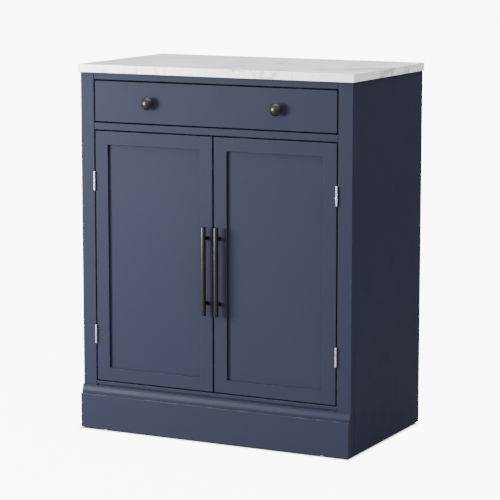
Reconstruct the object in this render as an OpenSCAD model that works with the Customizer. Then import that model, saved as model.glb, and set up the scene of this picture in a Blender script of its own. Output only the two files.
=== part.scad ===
// Kitchen island cabinet: a free-standing base cabinet on glides, with a
// stone-look worktop, one inset drawer on ball-bearing slides and two inset
// frame-and-panel doors on butt hinges. Millimetres, +Z up, front at -Y.
// The origin is on the floor, at the middle of the outer box.

/* [Overall] */
// Outside width over the two side panels
case_w = 738; // [600:1:900]
// Depth from the face frame's front to the sides' back edge
case_d = 422; // [350:1:520]
// Height from the floor to the top of the worktop
total_h = 917; // [760:1:1110]
// Height of the glides under the cabinet
glide_h = 3; // [2:0.5:6]

/* [Worktop] */
// Thickness of the worktop
top_t = 20; // [16:1:30]
// Overhang past each side panel
top_side_over = 4; // [0:0.5:40]
// Overhang past the face frame
top_front_over = 5; // [0:0.5:14]
// Chamfer on the worktop's edges
top_ease = 1; // [0.4:0.2:3]

/* [Boards] */
// Thickness of the side panels
side_t = 15; // [15:0.5:20]
// Thickness of the bottom, divider, stretchers and shelf
board_t = 15; // [15:0.5:20]
// Thickness of the back panel
back_t = 5; // [3:0.5:8]
// How far the back panel stands in from the sides' back edge
back_inset = 12; // [8:1:30]
// Depth of the back panel's groove in the sides
groove_d = 7; // [5:0.5:9]
// Front-to-back width of the two stretchers under the worktop
stretcher_w = 70; // [60:1:100]
// Height of the rear base rail
base_rail_h = 88; // [70:1:100]

/* [Face frame] */
// Thickness of the stiles and rails
frame_t = 18; // [17:0.5:25]
// Width of each stile
stile_w = 38; // [34:0.5:60]
// Height of the rail under the worktop
top_rail_h = 17; // [16:0.5:60]
// Height of the drawer opening
drawer_open_h = 106.5; // [85:0.5:150]
// Height of the rail between the drawer and the doors
mid_rail_h = 17.5; // [16:0.5:40]
// Height of the rail under the doors
bottom_rail_h = 50; // [42:1:70]
// How much of the bottom rail shows above the base board
rail_reveal = 10; // [6:0.5:20]
// Chamfer on the front edges of stiles and rails
frame_ease = 1; // [0.4:0.1:2]

/* [Base board] */
// Height of the base board's top above the floor
plinth_top = 112.5; // [90:0.5:140]
// Thickness of the base board, which stands in front of the frame
plinth_t = 15; // [14:0.5:22]
// Height of the hollow moulding at its top
cove_h = 19.5; // [12:0.5:30]
// Depth of the hollow moulding
cove_d = 10; // [6:0.5:11]
// Flat lip above the hollow moulding
lip_h = 3.5; // [2:0.5:6]

/* [Shelf] */
// Height of the shelf's underside above the bottom panel
shelf_rise = 292; // [150:1:330]
// Gap left at the front of the shelf, behind the frame
shelf_front_gap = 24; // [10:1:100]
// Side clearance of the shelf at each end
shelf_play = 1; // [0.5:0.5:3]
// Diameter of the shelf pins
pin_d = 5; // [4:0.5:7]
// Length of the shelf pins
pin_l = 16; // [14:0.5:20]
// Spacing of the holes in each row
row_step = 32; // [25:1:50]

/* [Doors] */
// Gap round a door or the drawer front
edge_gap = 3; // [2:0.5:5]
// Gap between the two doors
meet_gap = 4; // [2:0.5:6]
// Thickness of a door frame
door_t = 18; // [16:0.5:24]
// Width of a door's stiles
door_stile_w = 35; // [32:0.5:80]
// Height of a door's rails
door_rail_h = 33; // [30:0.5:80]
// Depth from the door's face to its panel
panel_recess = 6.5; // [4:0.5:8]
// Thickness of the door's panel
panel_t = 6; // [4:0.5:7]
// Depth of the groove and the stub tenons in the door frame
tongue_d = 8; // [6:0.5:10]

/* [Hinges] */
// Length of a hinge
hinge_l = 46; // [36:1:70]
// Diameter of the hinge barrel
barrel_d = 5.5; // [5:0.1:7]
// Diameter of the hinge pin
hinge_pin_d = 2.5; // [2:0.1:3]
// Thickness of a hinge leaf
leaf_t = 1.1; // [0.8:0.1:1.2]
// Depth of a leaf behind the face of the frame
leaf_w = 16; // [13:0.5:17]
// From the door's top to the middle of the upper hinge
hinge_from_top = 124.5; // [60:0.5:180]
// From the door's bottom to the middle of the lower hinge
hinge_from_bottom = 117; // [60:0.5:180]

/* [Drawer] */
// Room left above the drawer box in its opening
box_room = 16.5; // [10:0.5:30]
// Height of the box above the drawer opening's lower edge
box_lift = 8; // [5:0.5:10]
// Thickness of the drawer box's boards
box_t = 12; // [11:0.5:15]
// Thickness of the drawer bottom
box_floor_t = 5; // [3:0.5:6]
// Height of the drawer bottom above the box's lower edge
box_floor_lift = 8; // [6:0.5:12]
// Depth of the drawer bottom's groove
box_groove_d = 5; // [3:0.5:6]
// Room between the drawer slides and the back panel
slide_rear_room = 35; // [20:1:60]
// How far the drawer pulls out
drawer_travel = 320; // [120:5:330]

/* [Slides] */
// Height of a drawer slide
slide_h = 45.7; // [40:0.1:50]
// Thickness of a drawer slide
slide_t = 12.7; // [12.5:0.1:14]
// Sheet thickness of its members
slide_sheet = 1.2; // [1:0.1:1.3]
// Height of the ball race between two members
race = 1.5; // [1:0.1:2]

/* [Knobs and pulls] */
// Distance of each knob from the middle
knob_x = 174; // [90:1:240]
// Diameter of a knob's head
knob_d = 31.2; // [24:0.2:40]
// Height of a knob from the drawer front
knob_reach = 24; // [20:0.5:32]
// Length of a pull's bar
pull_l = 218; // [190:1:320]
// Diameter of a pull's bar
pull_d = 12; // [11:0.5:14]
// Distance between a pull's two posts
pull_span = 160; // [96:1:160]
// Diameter of a pull's posts
post_d = 10; // [8:0.5:11]
// Distance from the door's face to the middle of the bar
pull_reach = 19; // [19:0.5:40]
// Distance of each pull from the middle of the cabinet
pull_x = 17; // [13:0.5:19]
// From the door's top to the top of the bar
pull_drop = 217.5; // [60:0.5:230]

/* [Fasteners] */
// Diameter and length of a wooden dowel
dowel_d = 8; // [6:0.5:9]
// Length of a wooden dowel
dowel_l = 30; // [26:1:32]
// Shank diameter of a long screw
screw_d = 4; // [3:0.5:4.5]
// Length of a long screw
screw_l = 30; // [27:1:31]
// Shank diameter of a short screw
small_d = 3; // [2.5:0.1:3.2]
// Length of a short screw
small_l = 12; // [9:0.5:12.5]
// Length of a drawer screw
box_screw_l = 26; // [20:1:28]
// Diameter of a knob or pull screw
bolt_d = 4; // [3:0.5:5]
// Depth of thread in a knob or a pull's post
bolt_grip = 11; // [8:0.5:12]

/* [Clearances] */
// Radial clearance of screws, dowels, bolts and pins in their holes
hole_fit = 0.05; // [0.02:0.01:0.09]
// Clearance of boards and panels in their grooves
groove_fit = 0.1; // [0.05:0.05:0.3]
// Clearance of boards at the back panel and of the panel at its edges
board_fit = 0.2; // [0.1:0.1:0.5]
// Gap between the knuckles of a hinge
knuckle_gap = 0.3; // [0.2:0.1:0.6]

/* [Hidden] */
$fn = 48;

paint = "#4d5467";
raw_board = "#c9b592";
stone = "#e6e4e1";
bronze = "#3b3a38";
nickel = "#b9bcc0";
zinc = "#c4c6c8";
plastic = "#8d8f90";

// the outer box runs from the furthest thing in front to the sides' back edge
front_reach = max(pull_reach + pull_d / 2, knob_reach, plinth_t, top_front_over);
face_y = (front_reach - case_d) / 2;

// widths, measured from the middle
half_w = case_w / 2;
side_in = half_w - side_t;
open_half = half_w - stile_w;
door_out = open_half - edge_gap;
door_in = meet_gap / 2;

// heights
top_under = total_h - top_t;
drawer_open_top = top_under - top_rail_h;
drawer_open_bot = drawer_open_top - drawer_open_h;
door_open_top = drawer_open_bot - mid_rail_h;
door_open_bot = plinth_top + rail_reveal;
door_z0 = door_open_bot + edge_gap;
door_z1 = door_open_top - edge_gap;
divider_drop = 1.5;               // the divider lies just below the middle rail's top
divider_top = drawer_open_bot - divider_drop;
divider_z0 = divider_top - board_t;
bottom_z0 = door_open_bot - board_t;
stretch_z0 = top_under - board_t;
base_rail_z0 = bottom_z0 - base_rail_h;
shelf_z0 = door_open_bot + shelf_rise;

// depths, measured back from the face frame's front
back_y1 = case_d - back_inset;
back_y0 = back_y1 - back_t;
board_back = back_y0 - board_fit;
shelf_y0 = frame_t + shelf_front_gap;
base_rail_y1 = board_back;
base_rail_y0 = base_rail_y1 - board_t;

// holes for the shelf pins
row_count = 5;
row_middle = 2;                   // the shelf lies on this hole, counted from 0
row_in = 40;                      // rows stand in from the shelf's front and back
shelf_play_back = 3;
shelf_y1 = board_back - shelf_play_back;
row_ys = [shelf_y0 + row_in, shelf_y1 - row_in];
pin_z = shelf_z0 - pin_d / 2;

// drawer box and slides
box_z0 = drawer_open_bot + box_lift;
box_z1 = drawer_open_top - box_room;
slide_z = (box_z0 + box_z1) / 2;
slide_start = 2;                  // slides begin just behind the face frame
slide_y0 = frame_t + slide_start;
slide_l = back_y0 - slide_rear_room - slide_y0;
box_out = open_half - slide_t;
box_in = box_out - box_t;
box_y0 = door_t;
box_y1 = slide_y0 + slide_l;
box_inner_y = box_y0 + box_t;
floor_z0 = box_z0 + box_floor_lift;
web_in = 3.2;                     // the middle member's web, in from the mounting face
flange_in = slide_t - 1.7;        // how far its flanges reach in
inner_in = web_in + slide_sheet + 1.2;
outer_flange = slide_t - 3.2;      // how far the outer member's flanges reach in
packer_margin = 4;
packer_h = slide_h + 2 * packer_margin;
slide_screw_in = 35;
packer_screw_in = 70;
packer_bite = 7;                  // how far a packer's screws go into the side panel
packer_head_x = max(open_half, side_in + packer_bite - screw_l);

// hinges: the pin stands just in front of the frame, in the middle of the gap
pin_x = open_half - edge_gap / 2;
barrel_clear = 0.1;
pin_y = -(barrel_d / 2 + barrel_clear);
leaf_bore_y = leaf_w * 0.62;
leaf_screw_z = hinge_l / 2 - 9;
knuckle_l = (hinge_l - 2 * knuckle_gap) / 3;
finial_h = 1;
finial_in = 0.6;                  // a finial's foot is this much thinner than the barrel
hinge_zs = [door_z1 - hinge_from_top, door_z0 + hinge_from_bottom];

// pulls and knobs
pull_z = door_z1 - pull_drop - pull_l / 2;
knob_z = (drawer_open_top + drawer_open_bot) / 2;
bolt_head_d = 8;
bolt_head_h = 2.5;

// fasteners
screw_head_d = 2 * screw_d;
screw_head_h = 2.6;
small_head_d = 5.2;
small_head_h = 1.1;
hole_spare = 1;                   // blind holes are this much deeper than what goes in
dowel_skin = 3;                   // wood left in a side panel beyond a dowel
dowel_side = side_t - dowel_skin; // a dowel's share in a side panel or a stile's back
cam_d = 15;
cam_skin = 3;                     // wood left in a board above a cam
cam_h = board_t - cam_skin;
cam_in = 24;
cam_bolt_d = 5.8;
cam_bolt_skin = 5;                // wood left in a side panel beyond a cam's bolt
cam_bolt_grip = side_t - cam_bolt_skin;
cam_joint_in = 45;                // cams stand in from a board's front and back edges
dowel_joint_in = 92;
stretch_cam_in = 48;
stretch_dowel_in = 20;

// board ends that meet the side panels, as [y, z]
board_cams = concat(
    [for (z = [bottom_z0, divider_z0], y = [frame_t + cam_joint_in, board_back - cam_joint_in])
        [y, z + board_t / 2]],
    [for (y = [frame_t + stretch_cam_in, board_back - stretch_cam_in]) [y, stretch_z0 + board_t / 2]]);
board_dowels = concat(
    [for (z = [bottom_z0, divider_z0], y = [frame_t + dowel_joint_in, board_back - dowel_joint_in])
        [y, z + board_t / 2]],
    [for (y = [frame_t + stretch_dowel_in, board_back - stretch_dowel_in])
        [y, stretch_z0 + board_t / 2]],
    [for (z = [0.3, 0.75]) [base_rail_y0 + board_t / 2, base_rail_z0 + base_rail_h * z]]);
rail_dowels = [
    top_under - top_rail_h / 2,
    drawer_open_bot - mid_rail_h / 2,
    door_open_bot - bottom_rail_h * 0.25,
    door_open_bot - bottom_rail_h * 0.75
];
stile_dowels = [plinth_top + 30, (door_z0 + door_z1) / 2, drawer_open_bot + drawer_open_h / 2];
stile_dowel_x = side_in + side_t / 2;
plinth_screws = [plinth_top * 0.25, plinth_top * 0.62];
plinth_screw_x = open_half + (side_in - open_half) / 2;
top_screw_xs = [-side_in + 60, 0, side_in - 60];
top_screw_ys = [frame_t + stretcher_w / 2, board_back - stretcher_w / 2];
slide_screw_ys = [slide_y0 + slide_screw_in, slide_y0 + slide_l / 2,
    slide_y0 + slide_l - slide_screw_in];
packer_screw_ys = [slide_y0 + packer_screw_in, slide_y0 + slide_l - packer_screw_in];
box_screw_zs = [box_z0 + box_floor_lift + 13, box_z1 - 13];
front_screw_xs = [knob_x - 50, box_in - 28];
front_screw_z = slide_z - 16;

// magnetic catches under the divider, one behind each door
catch_x = door_in + door_stile_w + 30;
catch_w = 24;
catch_h = divider_z0 - door_z1 + 10;
catch_d = 14;
catch_ear_w = 9;
catch_ear_h = 3;
catch_gap = 0.1;
strike_t = 1;
catch_y0 = door_t + strike_t + catch_gap;
catch_y1 = catch_y0 + catch_d;
catch_body_y0 = max(catch_y0, frame_t + catch_gap);
strike_w = 26;
strike_h = 8;
strike_z = divider_z0 - catch_h + strike_h / 2 + 1;
strike_prong_l = 8;
strike_prong_d = 3;

// floor glides
glide_d = 13;
glide_foot_d = 11;
glide_nail_d = 2;
glide_nail_l = 12;
glide_ys = [60, case_d - 45];
glide_plinth_x = half_w - 70;

// everything is drawn from the face frame's front and moved back to the origin
module set_back() translate([0, face_y, 0]) children();

// a right-hand piece, or its mirror image on the left
module hand(side) mirror([side < 0 ? 1 : 0, 0, 0]) children();

// a span of given half-width about a middle
function around(middle, half) = [middle - half, middle + half];

module block(x, y, z)
    translate([x[0], y[0], z[0]]) cube([x[1] - x[0], y[1] - y[0], z[1] - z[0]]);

module rod_x(x0, x1, y, z, d)
    translate([x0, y, z]) rotate([0, 90, 0]) cylinder(h = x1 - x0, d = d);
module rod_y(x, y0, y1, z, d)
    translate([x, y1, z]) rotate([90, 0, 0]) cylinder(h = y1 - y0, d = d);
module rod_z(x, y, z0, z1, d)
    translate([x, y, z0]) cylinder(h = z1 - z0, d = d);

// an outline in depth and height, carried along the width
module along_x(x0, x1)
    translate([x0, 0, 0]) rotate([90, 0, 90]) linear_extrude(x1 - x0) children();
// an outline in width and depth, carried up
module along_z(z0, z1)
    translate([0, 0, z0]) linear_extrude(z1 - z0) children();

// a board whose four front edges are chamfered
module eased(x, y, z, c) intersection() {
    along_z(z[0], z[1]) polygon([[x[0], y[1]], [x[0], y[0] + c], [x[0] + c, y[0]],
        [x[1] - c, y[0]], [x[1], y[0] + c], [x[1], y[1]]]);
    along_x(x[0], x[1]) polygon([[y[1], z[0]], [y[0] + c, z[0]], [y[0], z[0] + c],
        [y[0], z[1] - c], [y[0] + c, z[1]], [y[1], z[1]]]);
}

// corners of a rectangle with its corners cut off
function cut_corners(a, b, c) = [[a[0] + c, b[0]], [a[1] - c, b[0]], [a[1], b[0] + c], [a[1], b[1] - c],
    [a[1] - c, b[1]], [a[0] + c, b[1]], [a[0], b[1] - c], [a[0], b[0] + c]];

// a countersunk screw along +Z with its head's face at z = 0; grow opens it out into a hole
module countersunk(d, l, head_d, head_h, grow = 0, spare = 0) {
    slope = (head_d - d) / head_h;
    translate([0, 0, -grow])
        cylinder(h = head_h + grow, d1 = head_d + 2 * grow + slope * grow, d2 = d + 2 * grow);
    cylinder(h = l + spare, d = d + 2 * grow);
}
module long_screw() countersunk(screw_d, screw_l, screw_head_d, screw_head_h);
module long_hole() countersunk(screw_d, screw_l, screw_head_d, screw_head_h, hole_fit, hole_spare);
module short_screw() countersunk(small_d, small_l, small_head_d, small_head_h);
module short_hole() countersunk(small_d, small_l, small_head_d, small_head_h, hole_fit, hole_spare);
module box_screw() countersunk(screw_d, box_screw_l, screw_head_d, screw_head_h);
module box_screw_hole()
    countersunk(screw_d, box_screw_l, screw_head_d, screw_head_h, hole_fit, hole_spare);

// a machine screw along +Z, with a flat pan head below z = 0
module machine_bolt(l) {
    translate([0, 0, -bolt_head_h]) cylinder(h = bolt_head_h, d = bolt_head_d);
    cylinder(h = l, d = bolt_d);
}

// where each kind of screw goes, for the right-hand side
module at_top_screws() for (x = top_screw_xs, y = top_screw_ys)
    translate([x, y, stretch_z0]) children();
module at_plinth_screws() for (z = plinth_screws)
    translate([plinth_screw_x, frame_t, z]) rotate([90, 0, 0]) children();
module at_packer_screws() for (y = packer_screw_ys)
    translate([packer_head_x, y, slide_z]) rotate([0, 90, 0]) children();
module at_slide_screws() for (y = slide_screw_ys)
    translate([open_half - slide_sheet, y, slide_z]) rotate([0, 90, 0]) children();
module at_runner_screws() for (y = slide_screw_ys)
    translate([open_half - slide_t + slide_sheet, y, slide_z]) rotate([0, -90, 0]) children();
module at_frame_leaf_screws() for (h = hinge_zs, k = [-1, 1])
    translate([open_half - leaf_t, leaf_bore_y, h + k * leaf_screw_z]) rotate([0, 90, 0]) children();
module at_door_leaf_screws() for (h = hinge_zs, k = [-1, 1])
    translate([door_out + leaf_t, leaf_bore_y, h + k * leaf_screw_z]) rotate([0, -90, 0]) children();
module at_catch_screws() for (k = [-1, 1])
    translate([catch_x + k * (catch_w + catch_ear_w) / 2, catch_y0 + catch_d / 2, divider_z0 - catch_ear_h])
        children();
module at_box_screws() for (y = [box_y0 + box_t / 2, box_y1 - box_t / 2], z = box_screw_zs)
    translate([box_out, y, z]) rotate([0, -90, 0]) children();
module at_front_screws() for (x = front_screw_xs)
    translate([x, box_inner_y, front_screw_z]) rotate([90, 0, 0]) children();
module at_knob_bolts() for (s = [-1, 1])
    translate([s * knob_x, box_inner_y, knob_z]) rotate([90, 0, 0]) children();
module at_pull_bolts() for (k = [-1, 1])
    translate([pull_x, door_t, pull_z + k * pull_span / 2]) rotate([90, 0, 0]) children();

// dowels and their holes
module side_dowels(grow = 0, spare = 0) for (p = board_dowels)
    rod_x(side_in + dowel_side - dowel_l - spare, side_in + dowel_side + spare, p[0], p[1],
        dowel_d + 2 * grow);
module frame_dowels(grow = 0, spare = 0) for (z = rail_dowels)
    rod_x(open_half - dowel_l / 2 - spare, open_half + dowel_l / 2 + spare, frame_t / 2, z,
        dowel_d + 2 * grow);
module edge_dowels(grow = 0, spare = 0) for (z = stile_dowels)
    rod_y(stile_dowel_x, frame_t - dowel_side - spare, frame_t - dowel_side + dowel_l + spare, z,
        dowel_d + 2 * grow);

// cam locks: the cam drops into the board from below, its bolt stands in the side panel
module at_cams() for (p = board_cams) translate([side_in - cam_in, p[0], p[1]]) children();
module cam_holes() {
    at_cams() translate([0, 0, -board_t / 2 - hole_fit])
        cylinder(h = cam_h + hole_spare / 2 + hole_fit, d = cam_d + 2 * hole_fit);
    at_cams() rotate([0, 90, 0])
        cylinder(h = cam_in + cam_bolt_grip + hole_spare, d = cam_bolt_d + 2 * hole_fit);
}
module cam_set() {
    neck_l = 4;
    head_l = 2.5;
    at_cams() difference() {
        translate([0, 0, -board_t / 2]) cylinder(h = cam_h, d = cam_d);
        translate([-head_l, 0, 0]) rotate([0, 90, 0]) cylinder(h = cam_d, d = cam_bolt_d + 4 * hole_fit);
    }
    at_cams() rotate([0, 90, 0]) {
        translate([0, 0, -head_l / 2]) cylinder(h = head_l, d = cam_bolt_d);
        cylinder(h = neck_l + head_l, d = cam_bolt_d - 2);
        translate([0, 0, neck_l]) cylinder(h = cam_in + cam_bolt_grip - neck_l, d = cam_bolt_d);
    }
}

module worktop() color(stone) set_back() difference() {
    x = [-half_w - top_side_over, half_w + top_side_over];
    y = [-top_front_over, case_d];
    z = [top_under, total_h];
    intersection() {
        along_z(z[0], z[1]) polygon(cut_corners(x, y, top_ease));
        along_x(x[0], x[1]) polygon(cut_corners(y, z, top_ease));
        translate([0, y[1], 0]) rotate([90, 0, 0]) linear_extrude(y[1] - y[0])
            polygon(cut_corners(x, z, top_ease));
    }
    at_top_screws() long_hole();
}

module side_panel(side) color(paint) set_back() hand(side) difference() {
    block([side_in, half_w], [frame_t, case_d], [glide_h, top_under]);
    // groove for the back panel
    block([side_in - 1, side_in + groove_d], [back_y0 - groove_fit, back_y1 + groove_fit],
        [glide_h - 1, top_under + 1]);
    // shelf pin rows
    for (y = row_ys, i = [0:row_count - 1])
        rod_x(side_in - 1, side_in + pin_l / 2 + hole_spare, y, pin_z + (i - row_middle) * row_step,
            pin_d + 2 * hole_fit);
    side_dowels(hole_fit, hole_spare);
    edge_dowels(hole_fit, hole_spare);
    cam_holes();
    at_packer_screws() long_hole();
    at_side_glides() glide(hole_fit);
}
module left_side_panel() side_panel(-1);
module right_side_panel() side_panel(1);

module back_panel() color(raw_board) set_back()
    block([-1, 1] * (side_in + groove_d - board_fit), [back_y0, back_y1],
        [base_rail_z0, top_under - board_fit]);

// a board between the sides, with its dowel and cam holes
module carcass_board(y, z) difference() {
    block([-side_in, side_in], y, z);
    for (s = [-1, 1]) hand(s) {
        side_dowels(hole_fit, hole_spare);
        cam_holes();
    }
}
module bottom_panel() color(paint) set_back()
    carcass_board([frame_t, board_back], [bottom_z0, door_open_bot]);
module divider_panel() color(paint) set_back() difference() {
    carcass_board([frame_t, board_back], [divider_z0, divider_top]);
    for (s = [-1, 1]) hand(s) at_catch_screws() short_hole();
}
module front_stretcher() color(raw_board) set_back() difference() {
    carcass_board([frame_t, frame_t + stretcher_w], [stretch_z0, top_under]);
    at_top_screws() long_hole();
}
module rear_stretcher() color(raw_board) set_back() difference() {
    carcass_board([board_back - stretcher_w, board_back], [stretch_z0, top_under]);
    at_top_screws() long_hole();
}
module rear_base_rail() color(raw_board) set_back()
    carcass_board([base_rail_y0, base_rail_y1], [base_rail_z0, bottom_z0]);

module shelf() color(paint) set_back()
    block([-1, 1] * (side_in - shelf_play), [shelf_y0, shelf_y1], [shelf_z0, shelf_z0 + board_t]);
module shelf_pins() color(zinc) set_back() for (s = [-1, 1], y = row_ys) hand(s)
    rod_x(side_in - pin_l / 2, side_in + pin_l / 2, y, pin_z, pin_d);

module face_stile(side) color(paint) set_back() hand(side) difference() {
    eased([open_half, half_w], [0, frame_t], [glide_h, top_under], frame_ease);
    frame_dowels(hole_fit, hole_spare);
    edge_dowels(hole_fit, hole_spare);
    at_plinth_screws() box_screw_hole();
    at_frame_leaf_screws() short_hole();
}
module left_face_stile() face_stile(-1);
module right_face_stile() face_stile(1);

module face_rail(z) color(paint) set_back() difference() {
    eased([-open_half, open_half], [0, frame_t], z, frame_ease);
    for (s = [-1, 1]) hand(s) frame_dowels(hole_fit, hole_spare);
}
module top_rail() face_rail([drawer_open_top, top_under]);
module middle_rail() face_rail([door_open_top, drawer_open_bot]);
module bottom_rail() face_rail([door_open_bot - bottom_rail_h, door_open_bot]);

// the base board's moulded section: a lip, a quarter-ellipse hollow, a ledge and a flat face
cove_steps = 16;
quirk = 2;
ledge_r = 1.5;
ledge_w = 2.5;
ledge_steps = 6;
lip_out = plinth_t - cove_d - ledge_w;
cove_foot = lip_out + cove_d;
function cove_points() = [for (i = [0:cove_steps]) let (a = 90 * i / cove_steps)
    [-cove_foot + cove_d * cos(a), plinth_top - lip_h - cove_h * sin(a)]];
function ledge_points() = [for (i = [0:ledge_steps])
    let (a = 90 * i / ledge_steps, foot = plinth_top - lip_h - cove_h)
    [-plinth_t + ledge_r - ledge_r * sin(a), foot - ledge_r + ledge_r * cos(a)]];

module plinth_board() color(paint) set_back() difference() {
    along_x(-half_w, half_w) polygon(concat(
        [[0, glide_h], [0, plinth_top - quirk], [-lip_out / 2, plinth_top - quirk / 2],
            [-lip_out, plinth_top - quirk]],
        cove_points(), ledge_points(), [[-plinth_t, glide_h]]));
    for (s = [-1, 1]) hand(s) at_plinth_screws() box_screw_hole();
    at_plinth_glides() glide(hole_fit);
}

// nail-on glides
module glide(grow = 0) {
    if (grow == 0)
        cylinder(h = glide_h, d1 = glide_foot_d, d2 = glide_d);
    translate([0, 0, glide_h - grow]) cylinder(h = glide_nail_l + 2 * grow, d = glide_nail_d + 2 * grow);
}
module at_side_glides() for (y = glide_ys)
    translate([side_in + side_t / 2, y, 0]) children();
module at_plinth_glides() for (s = [-1, 1])
    translate([s * glide_plinth_x, -plinth_t / 2, 0]) children();
module floor_glides() color(plastic) set_back() {
    for (s = [-1, 1]) hand(s) at_side_glides() glide();
    at_plinth_glides() glide();
}

module long_screws() color(zinc) set_back() {
    at_top_screws() long_screw();
    for (s = [-1, 1]) hand(s) {
        at_plinth_screws() box_screw();
        at_packer_screws() long_screw();
    }
}
module short_screws() color(zinc) set_back() for (s = [-1, 1]) hand(s) {
    at_slide_screws() short_screw();
    at_frame_leaf_screws() short_screw();
    at_catch_screws() short_screw();
}
module cam_fittings() color(zinc) set_back() for (s = [-1, 1]) hand(s) cam_set();
module dowels() color(raw_board) set_back() for (s = [-1, 1]) hand(s) {
    side_dowels();
    frame_dowels();
    edge_dowels();
}

// a channel of sheet metal: a web with two flanges, given as distances in from the mounting face
module channel(web, reach, h) {
    x = [open_half - max(web[1], reach[1]), open_half - min(web[0], reach[0])];
    opens_inward = web[0] == reach[0];
    hollow_x = opens_inward ? [x[0] - 1, open_half - web[1]] : [open_half - web[0], x[1] + 1];
    difference() {
        block(x, [slide_y0, slide_y0 + slide_l], around(slide_z, h / 2));
        block(hollow_x, [slide_y0 - 1, slide_y0 + slide_l + 1], around(slide_z, h / 2 - slide_sheet));
    }
}
middle_h = slide_h - 2 * (slide_sheet + race);
inner_h = middle_h - 2 * (slide_sheet + race);

module slide_outer(side) color(zinc) set_back() hand(side) difference() {
    channel([0, slide_sheet], [0, outer_flange], slide_h);
    at_slide_screws() short_hole();
}
module slide_middle(side) color(zinc) set_back() hand(side)
    channel([web_in, web_in + slide_sheet], [web_in, flange_in], middle_h);
module slide_inner(side) color(zinc) set_back() hand(side) difference() {
    channel([slide_t - slide_sheet, slide_t], [inner_in, slide_t], inner_h);
    at_runner_screws() short_hole();
}
module left_slide_outer() slide_outer(-1);
module right_slide_outer() slide_outer(1);
module left_slide_middle() slide_middle(-1);
module right_slide_middle() slide_middle(1);
module left_slide_inner() slide_inner(-1);
module right_slide_inner() slide_inner(1);

module slide_packers() color(raw_board) set_back() for (s = [-1, 1]) hand(s) difference() {
    block([open_half, side_in], [frame_t, slide_y0 + slide_l], around(slide_z, packer_h / 2));
    at_packer_screws() long_hole();
    // a bore for the screw's head, where a thick packer needs one
    if (packer_head_x > open_half)
        for (y = packer_screw_ys)
            rod_x(open_half - 1, packer_head_x + hole_fit, y, slide_z, screw_head_d + 2 * hole_fit);
    at_slide_screws() short_hole();
}

module drawer_floor(grow = 0) {
    reach = box_groove_d - board_fit + grow * 2;
    block([-1, 1] * (box_in + reach), [box_inner_y - reach, box_y1 - box_t + reach],
        [floor_z0 - grow, floor_z0 + box_floor_t + grow]);
}
module drawer_bottom() color(raw_board) set_back() drawer_floor();

module drawer_side(side) color(raw_board) set_back() difference() {
    hand(side) block([box_in, box_out], [box_y0, box_y1], [box_z0, box_z1]);
    drawer_floor(groove_fit);
    hand(side) at_box_screws() box_screw_hole();
    hand(side) at_runner_screws() short_hole();
}
module drawer_left_side() drawer_side(-1);
module drawer_right_side() drawer_side(1);

module drawer_end(y) difference() {
    block([-box_in, box_in], y, [box_z0, box_z1]);
    drawer_floor(groove_fit);
    for (s = [-1, 1]) hand(s) {
        at_box_screws() box_screw_hole();
        at_front_screws() box_screw_hole();
    }
    at_knob_bolts() bolt_hole();
}
module drawer_inner_front() color(raw_board) set_back() drawer_end([box_y0, box_inner_y]);
module drawer_back() color(raw_board) set_back() drawer_end([box_y1 - box_t, box_y1]);

module bolt_hole() translate([0, 0, -1]) cylinder(h = box_inner_y + 2, d = bolt_d + 2 * hole_fit);
module drawer_front() color(paint) set_back() difference() {
    eased([-door_out, door_out], [0, door_t],
        [drawer_open_bot + edge_gap, drawer_open_top - edge_gap], frame_ease / 2);
    for (s = [-1, 1]) hand(s) at_front_screws() box_screw_hole();
    at_knob_bolts() bolt_hole();
}
module drawer_screws() color(zinc) set_back() for (s = [-1, 1]) hand(s) {
    at_box_screws() box_screw();
    at_front_screws() box_screw();
    at_runner_screws() short_screw();
}

// a turned knob: a foot, a waisted stem and a domed head
foot_r = 7.5;
foot_h = 2;
stem_r = 5;
stem_h = 3;                       // straight length of the stem above its foot
rim_h = 15;
rim_t = 1.5;
rim_in = 1;
dome_steps = 12;
stem_steps = 8;
dome_rise = knob_reach - rim_h;
dome_r = (pow(knob_d / 2, 2) + pow(dome_rise, 2)) / (2 * dome_rise);
dome_span = asin(knob_d / 2 / dome_r);
function dome_points() = [for (i = [0:dome_steps]) let (a = dome_span * (1 - i / dome_steps))
    [dome_r * sin(a), knob_reach - dome_r + dome_r * cos(a)]];
function stem_points() = [for (i = [0:stem_steps]) let (a = 90 * i / stem_steps)
    [stem_r + (knob_d / 2 - rim_in - stem_r) * (1 - cos(a)),
        foot_h + stem_h + (rim_h - rim_t - foot_h - stem_h) * sin(a)]];
module knob_at(side) color(bronze) set_back()
    translate([side * knob_x, 0, knob_z]) rotate([90, 0, 0]) difference() {
        rotate_extrude()
            polygon(concat([[0, 0], [foot_r, 0], [foot_r, foot_h]], stem_points(), dome_points()));
        translate([0, 0, -1]) cylinder(h = bolt_grip + hole_spare + 1, d = bolt_d + 2 * hole_fit);
    }
module left_knob() knob_at(-1);
module right_knob() knob_at(1);
module knob_screws() color(zinc) set_back() at_knob_bolts() machine_bolt(box_inner_y + bolt_grip);

// grooves for the panel and the stub tenons
tongue_y = [panel_recess, panel_recess + panel_t];
groove_y = tongue_y + [-groove_fit, groove_fit];
panel_x = [door_in + door_stile_w, door_out - door_stile_w];
panel_z = [door_z0 + door_rail_h, door_z1 - door_rail_h];
panel_in_groove = tongue_d - 2 * board_fit;

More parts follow.
